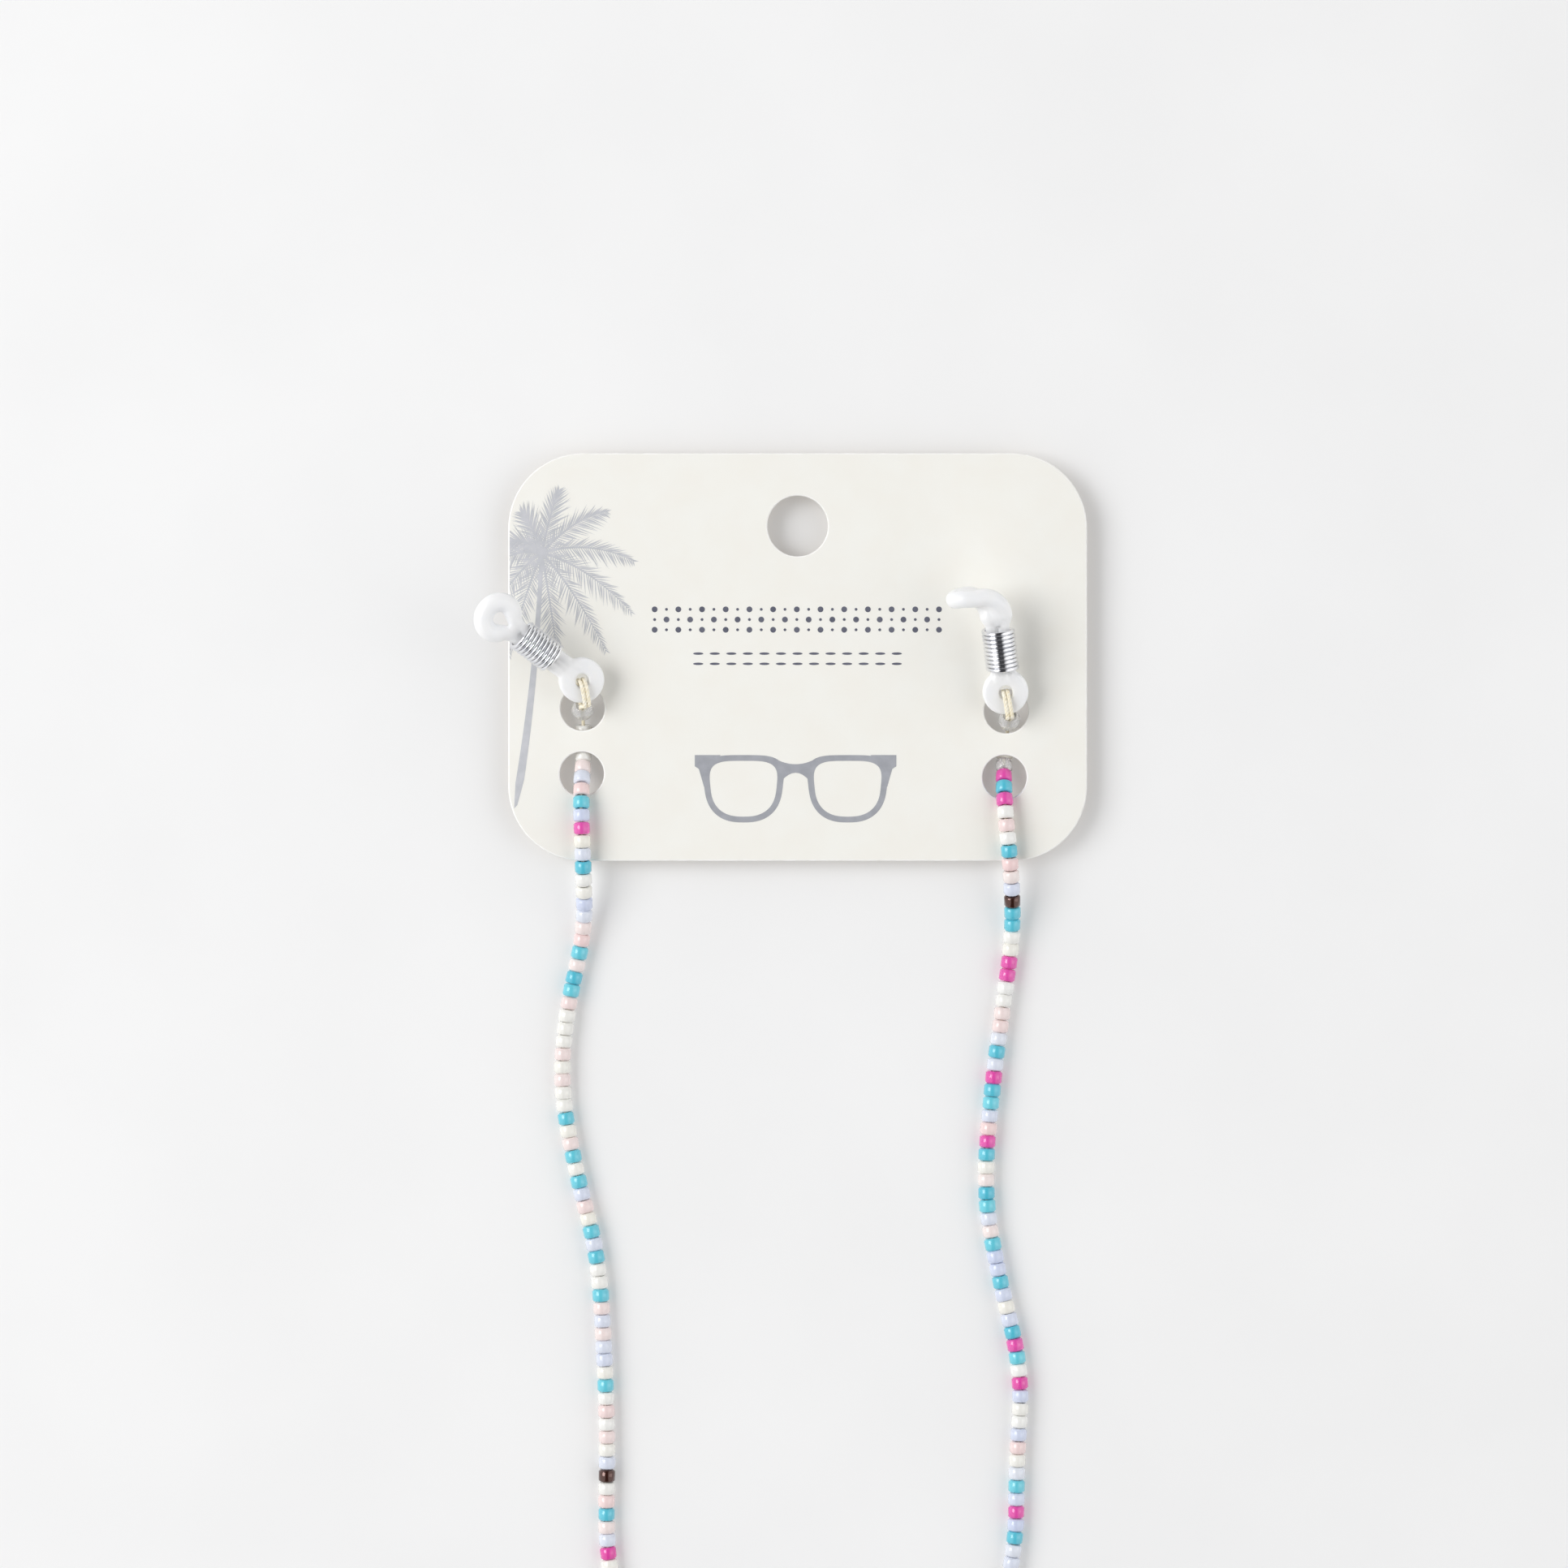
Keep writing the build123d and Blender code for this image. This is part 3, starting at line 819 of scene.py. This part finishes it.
# %% [markdown]
# ## Display card
# The card is die-cut from thick cream board, and the cutter presses its edge over slightly. The cut edge is
# painted a little whiter than the face: partly the board's white core, partly a painted highlight where the
# pressed edge meets the light. The back is painted a grey-brown shade colour: it is never seen, but light
# bounced from it warms the shade under the card that shows through the holes. A filled 2D curve with a fine
# bevel gives the outline, the five holes and that pressed edge at once, and stays exact.

# %% Card shape
card_width, card_top, card_bottom, card_corner, half_card = 85.0, 10.7, -49.2, 11.0, 0.3
hang_hole = (0.0, 0.0, 4.45)
threading_holes = [(-31.6, -26.8, 3.25), (-31.7, -36.4, 3.25), (30.65, -27.2, 3.25), (30.4, -36.9, 3.25)]
pressed_edge = 0.2


def closed_line(curve, points):
    """Add a closed polygon in millimetres to a flat curve."""
    spline = curve.splines.new("POLY")
    spline.points.add(len(points) - 1)
    for point, place in zip(spline.points, points):
        point.co = (place[0] * mm, place[1] * mm, 0, 1)
    spline.use_cyclic_u = True


def flat_piece(name, outlines, thickness, level, *materials, edge=0.0):
    """A flat plate from closed outlines, the first the outside and the rest its holes."""
    curve = bpy.data.curves.new(name, "CURVE")
    curve.dimensions, curve.fill_mode = "2D", "BOTH"
    curve.extrude, curve.bevel_depth, curve.bevel_resolution = (thickness / 2 - edge) * mm, edge * mm, 2
    curve.offset = -edge * mm
    for outline in outlines:
        closed_line(curve, outline)
    drawn = bpy.data.objects.new(name, curve)
    bpy.context.scene.collection.objects.link(drawn)
    bpy.context.view_layer.update()
    mesh = bpy.data.meshes.new_from_object(drawn)
    discard(drawn)
    mesh.transform(Matrix.Translation((0, 0, level * mm)))
    mesh.materials.clear()
    plate = add_piece(name, mesh, *materials, smooth=False)
    shape = bmesh.new()
    shape.from_mesh(mesh)
    bmesh.ops.remove_doubles(shape, verts=shape.verts, dist=1e-7)
    bmesh.ops.recalc_face_normals(shape, faces=shape.faces)
    for face in shape.faces:
        rim = abs(face.normal.z) < 0.999
        face.smooth = rim
        if len(materials) == 3:
            face.material_index = 1 if rim else (0 if face.normal.z > 0 else 2)
    shape.to_mesh(mesh)
    shape.free()
    return plate


def circle(x, y, radius, count=64):
    """Points round a circle."""
    angles = [2 * pi * k / count for k in range(count)]
    return [(x + radius * cos(angle), y + radius * sin(angle)) for angle in angles]


card_outline = []
corner_left, corner_right = card_corner - card_width / 2, card_width / 2 - card_corner
corner_high, corner_low = card_top - card_corner, card_bottom + card_corner
for corner_x, corner_y, start in (
    (corner_right, corner_high, 0), (corner_left, corner_high, 90),
    (corner_left, corner_low, 180), (corner_right, corner_low, 270),
):
    for step in range(17):
        angle = radians(start + 90 * step / 16)
        card_outline.append((corner_x + card_corner * cos(angle), corner_y + card_corner * sin(angle)))

card_stock = clouded_finish("card_stock", (244, 243, 237), (243, 241, 234), 0.62, 160, 2600,
                            bump=0.12, depth=0.03 * mm)
# Edge colour: partly the board's white core, partly a painted highlight on the pressed edge.
cut_edge = clouded_finish("cut_edge", (254, 253, 251), (246, 245, 241), 0.7, 900, 5000, bump=0.3)
# Back colour: a painted shade colour, never seen, that warms the shade under the card through bounced light.
grey_back = clouded_finish("grey_back", (212, 198, 178), (192, 176, 152), 0.8, 500, 3000,
                           bump=0.4, depth=0.04 * mm)
card = flat_piece("card", [card_outline, *[circle(*hole) for hole in (hang_hole, *threading_holes)]],
                  2 * half_card, 0, card_stock, cut_edge, grey_back, edge=pressed_edge)
print("card faces", len(card.data.polygons))

# %% [markdown]
# ## Printing
# The card carries three grey prints: a palm, two rows of plain marks where a shop's wording would be,
# and a pair of spectacles. Each is a film of ink about a hundredth of a millimetre above the face, drawn
# as flat shapes. The palm is grown by rule: a trunk that widens downwards and curved ribs, with leaflets
# down both sides that lengthen, then shorten to the tip.

# %% Inks
ink_thickness = 0.012
ink_level = half_card + ink_thickness


def ink(name, light, deep):
    """A matt print in one grey, a little uneven."""
    return clouded_finish(name, light, deep, 0.55, 700, 4000)


slate_ink = ink("slate_ink", (102, 104, 119), (88, 90, 106))
grey_ink = ink("grey_ink", (168, 170, 177), (158, 160, 167))
leaf_ink = ink("leaf_ink", (202, 203, 208), (192, 194, 199))
print("inks", slate_ink.name, grey_ink.name, leaf_ink.name)

# %% Spectacles
icon_x, icon_y, lens_x = -0.3, -38.6, 7.65
half_lens_wide, half_lens_high, rim_top, rim_side = 5.15, 4.1, 0.85, 0.95
lens_points, square_top, round_bottom = 72, 0.52, 0.78


def lens_line(grow_x, grow_y):
    """Outline of one lens opening, squarer at the top than at the bottom, grown by the rim's width."""
    line = []
    for k in range(lens_points):
        across, up = cos(2 * pi * k / lens_points), sin(2 * pi * k / lens_points)
        power = square_top if up > 0 else round_bottom
        x = (half_lens_wide + grow_x) * abs(across) ** power * (1 if across > 0 else -1)
        y = (half_lens_high + grow_y) * abs(up) ** power * (1 if up > 0 else -1)
        line.append((x * (0.94 + 0.02 * y), y))
    return line


def icon_shape(name, outlines, hand, layer):
    """One flat part of the spectacles, for the left (-1) or right (1) side."""
    drawn = [[(icon_x + hand * x, icon_y + y) for x, y in outline] for outline in outlines]
    return flat_piece(name, drawn, ink_thickness, ink_level + 0.003 * layer, grey_ink)


corner_piece = [
    (11.0, 4.95), (14.8, 4.95), (14.8, 3.3), (14.2, 2.9), (13.85, 1.7), (13.46, 0.3), (13.1, 0.3),
    (12.9, 3.6), (11.6, 4.3),
]
icon_parts = []
for hand in (-1, 1):
    rims = [[(lens_x + x, y) for x, y in lens_line(*rim)] for rim in ((rim_side, rim_top), (0, 0))]
    icon_parts.append(icon_shape("rim", rims, hand, 0))
    icon_parts.append(icon_shape("corner", [corner_piece], hand, 1))
bridge_top = [(x / 4, 3.6 + 0.09 * (x / 4) ** 2) for x in range(-14, 15, 2)]
bridge_under = [(x / 4, 2.35 - 0.28 * (x / 4) ** 2) for x in range(8, -9, -2)]
icon_parts.append(icon_shape("bridge", [bridge_top + bridge_under], 1, 2))
spectacles_print = join("spectacles_print", *icon_parts)
print("spectacles faces", len(spectacles_print.data.polygons))

# %% The tree that prints marks and leaflets
print_tree, given, result = new_tree("printed_marks", [
    ("Mark", "NodeSocketObject", None), ("Lift", "NodeSocketFloat", 0.01 * mm),
    ("Finish", "NodeSocketMaterial", None),
])
across = node(print_tree, "GeometryNodeInputNamedAttribute", {"data_type": "FLOAT_VECTOR"}, name="mark_size")
spin = node(print_tree, "GeometryNodeInputNamedAttribute", {"data_type": "FLOAT"}, name="mark_turn")
turn = node(print_tree, "ShaderNodeCombineXYZ", z=output(spin, "Attribute"))
mark = node(print_tree, "GeometryNodeObjectInfo", object=given["Mark"])
stamped = node(print_tree, "GeometryNodeInstanceOnPoints", points=given["Geometry"],
               instance=output(mark, "Geometry"), rotation=turn.outputs[0], scale=output(across, "Attribute"))
lift = node(print_tree, "FunctionNodeRandomValue", {"data_type": "FLOAT"}, min=0.0, max=given["Lift"], seed=5)
up = node(print_tree, "ShaderNodeCombineXYZ", z=output(lift))
layered = node(print_tree, "GeometryNodeTranslateInstances", instances=output(stamped),
               translation=up.outputs[0], local_space=False)
end_tree(print_tree, layered, given["Finish"], result)


def printed(name, marks, blank, material):
    """Stamp a blank at each mark (x, y, wide, high, turn), in millimetres and radians."""
    mesh = bpy.data.meshes.new(name)
    mesh.from_pydata([(x * mm, y * mm, ink_level * mm) for x, y, *_ in marks], [], [])
    mesh.attributes.new("mark_size", "FLOAT_VECTOR", "POINT").data.foreach_set(
        "vector", [c for _, _, wide, high, _ in marks for c in (wide, high, 1)])
    mesh.attributes.new("mark_turn", "FLOAT", "POINT").data.foreach_set("value", [m[4] for m in marks])
    places = add_piece(name, mesh)
    film = grow(places, print_tree, name, mark=blank, finish=material)
    discard(places)
    return film


# %% Rows of plain marks


def blank_shape(name, outline):
    """One flat face to stamp, from an outline in millimetres."""
    mesh = bpy.data.meshes.new(name)
    mesh.from_pydata([(x * mm, y * mm, 0) for x, y in outline], [], [tuple(range(len(outline)))])
    return add_piece(name, mesh)


dot = blank_shape("dot", circle(0, 0, 0.5, 20))
upper_middle, lower_middle, big_dot, small_dot, dash = -13.75, -19.5, 0.85, 0.42, (1.5, 0.36, 0.0)
upper_marks = []
for column in range(25):
    for row in (-1, 0, 1):
        size = big_dot if (column + row) % 2 else small_dot
        upper_marks.append((-21.0 + 1.74 * column, upper_middle + 1.5 * row, size, size, 0.0))
lower_marks = [(-14.6 + 2.43 * k, lower_middle + dy, *dash) for k in range(13) for dy in (-0.75, 0.75)]
upper_print = printed("upper_print", upper_marks, dot, slate_ink)
lower_print = printed("lower_print", lower_marks, dot, slate_ink)
print("marks", len(upper_marks), len(lower_marks))

# %% The palm
leaflet_outline = [(0, -0.12), (0.4, -0.2), (1.0, 0), (0.4, 0.2), (0, 0.12)]
leaflet = blank_shape("leaflet", leaflet_outline)
crown, fronds_round, leaf_pairs, longest_leaflet = Vector((-37.6, -3.9)), 11, 40, 4.0
leaf_marks = []
for frond in range(fronds_round):
    heading = radians(172 - 31.5 * frond)
    reach = 11.8 + 3.0 * cos(heading + 0.5) + 1.1 * sin(5.0 * frond)
    droop = 1.6 + 3.2 * abs(cos(heading))
    before = crown
    for step in range(1, leaf_pairs + 1):
        share = step / leaf_pairs
        out_x, out_y = cos(heading) * reach * share, sin(heading) * reach * share
        here = crown + Vector((out_x, out_y - droop * share ** 2.2))
        way = here - before
        way_angle = -Vector((1, 0)).angle_signed(way)
        swell = 0.25 + 0.75 * sin(pi * min(1, 0.08 + share * 0.8))
        leaf = longest_leaflet * swell * (1 - 0.45 * share ** 3)
        leaf_marks.append((*before, way.length * 1.6, 1.3 * (1.1 - share), way_angle))
        for hand in (-1, 1):
            lean = 0.95 - 0.45 * share + 0.1 * sin(11.3 * step + 3 * frond)
            sag = -0.22 * cos(way_angle)
            length = leaf * (0.86 + 0.14 * sin(7.7 * step + hand)) * (1 if hand < 0 else 0.82)
            wide = 0.42 if step > 3 else 0.2
            leaf_marks.append((*here, length, wide, way_angle + hand * lean + sag))
        before = here
fronds = printed("fronds", leaf_marks, leaflet, leaf_ink)
trunk_steps, trunk_height, left_edge, right_edge = 20, 37.6, [], []
for k in range(trunk_steps + 1):
    down = k / trunk_steps
    x, y = crown.x - 1.3 * down - 2.5 * down ** 2, crown.y - trunk_height * down
    half = (0.28 + 0.4 * down) * min(1, 7 - k / 3)
    left_edge.append((x - half, y))
    right_edge.append((x + half, y + 0.5))
trunk = flat_piece("trunk", [left_edge + right_edge[::-1]], ink_thickness, ink_level, leaf_ink)
palm_print = join("palm_print", fronds, trunk)
print("palm faces", len(palm_print.data.polygons))

# %% [markdown]
# The palm stands at the card's left edge, so some leaflets would run off it. A bisecting plane cuts them.

# %% Cut the palm at the card's edge
ink_edge = 0.2 - card_width / 2
shape = bmesh.new()
shape.from_mesh(palm_print.data)
bmesh.ops.bisect_plane(shape, geom=[*shape.verts, *shape.edges, *shape.faces],
                       plane_co=(ink_edge * mm, 0, 0), plane_no=(-1, 0, 0), clear_outer=True)
shape.to_mesh(palm_print.data)
shape.free()
discard(dot, leaflet)
print("palm faces left", len(palm_print.data.polygons))

# %% [markdown]
# ## Coil tie
# A flat elastic band holds the spare turns. Its CAD shape is right, so it stays and only gets a finish.

# %% Coil tie finish
tie_band = clouded_finish("tie_band", (240, 236, 228), (224, 218, 204), 0.6, 800, 3500, bump=0.4)
coil_tie = bpy.data.objects["coil_tie"]
for material_slot in coil_tie.material_slots:
    material_slot.material = tie_band
print("finish on", coil_tie.name, tie_band.name)

# %% [markdown]
# ## What rides on what
# The fittings swing on their eyelets and the springs slide along the legs. Everything else stays with the
# card.

# %% Ride and replace
bead_nodes = [
    "teal_beads", "magenta_beads", "blush_beads", "ivory_beads", "ice_blue_beads", "bronze_beads",
    "clear_beads", "left_hidden_beads", "right_hidden_beads", "strand_coil",
]
rides = (
    (card, card_and_strand, ["display_card"]),
    (bead_strand, card_and_strand, bead_nodes),
    (strand_thread, card_and_strand, ["left_thread", "right_thread"]),
    (left_round_bead, card_and_strand, ["left_end_bead"]),
    (right_round_bead, card_and_strand, ["right_end_bead"]),
    (left_tie, card_and_strand, ["left_tie_thread"]),
    (right_tie, card_and_strand, ["right_tie_thread"]),
    (left_temple_loop, left_end, ["left_temple_loop"]),
    (right_temple_loop, right_end, ["right_temple_loop"]),
    (left_spring, "left_cinch", ["left_cinch_spring"]),
    (right_spring, "right_cinch", ["right_cinch_spring"]),
    (spectacles_print, card_and_strand, []),
    (upper_print, card_and_strand, []),
    (lower_print, card_and_strand, []),
    (palm_print, card_and_strand, []),
)
for piece, body, node_names in rides:
    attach(piece, body)
    if node_names:
        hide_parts(*node_names)
print("pieces that ride", len(rides))

# %% Strand length
print("cord declared", round(strand_length, 4))

# %% [markdown]
# ## Table and light
# A pale matt table that glows faintly, as a light table does, keeps the shadows under the card open. A
# soft light from the left throws short soft shadows to the right, and a weak one from the right fills
# them. The sky is bright at both sides with a dim strip between, so the plated wire and the glass have
# something dark to show between two bright bands.

# %% Table
table_height = table_level - bead_radius / mm
table_reach = 1.2
table_finish = clouded_finish("pale_table", (220, 220, 220), (217, 217, 217), 0.75, 25, 500, bump=0.05,
                              Emission_Color=(1, 1, 1, 1), Emission_Strength=0.19)
table_mesh = bpy.data.meshes.new("table")
table_mesh.from_pydata([(x * table_reach, y * table_reach, table_height * mm)
                        for x, y in ((-1, -1), (1, -1), (1, 1), (-1, 1))], [], [(0, 1, 2, 3)])
table = add_piece("table", table_mesh, table_finish, smooth=False)
print("table at", round(table_height, 2), "mm")

# %% Lights


def soft_light(name, place, target, width, height, power):
    """A rectangular soft box aimed at a point."""
    data = bpy.data.lights.new(name, "AREA")
    data.shape, data.size, data.size_y, data.energy = "RECTANGLE", width, height, power
    lamp = bpy.data.objects.new(name, data)
    lamp.location = place
    lamp.rotation_euler = (Vector(target) - Vector(place)).to_track_quat("-Z", "Y").to_euler()
    bpy.context.scene.collection.objects.link(lamp)


aim = (0, -0.04, 0)
soft_light("key_light", (-0.85, 0.16, 0.85), aim, 0.7, 0.7, 7.6)
soft_light("right_fill", (0.8, -0.1, 0.5), aim, 0.5, 0.8, 1.2)
sky = bpy.data.worlds.new("sky")
sky.use_nodes = True
bpy.context.scene.world = sky
tree = sky.node_tree
background = tree.nodes["Background"]
direction = tree.nodes.new("ShaderNodeTexCoord")
parts = tree.nodes.new("ShaderNodeSeparateXYZ")
sideways = tree.nodes.new("ShaderNodeMath")
sideways.operation = "ABSOLUTE"
fade = tree.nodes.new("ShaderNodeValToRGB")
dim, bright = fade.color_ramp.elements
dim.position, dim.color = 0.25, (0.06, 0.06, 0.065, 1)
bright.position, bright.color = 0.45, (1.0, 1.0, 1.0, 1)
tree.links.new(direction.outputs["Generated"], parts.inputs["Vector"])
tree.links.new(parts.outputs["X"], sideways.inputs[0])
tree.links.new(sideways.outputs[0], fade.inputs["Fac"])
tree.links.new(fade.outputs["Color"], background.inputs["Color"])
background.inputs["Strength"].default_value = 1.02
print("lights", len(bpy.data.lights))
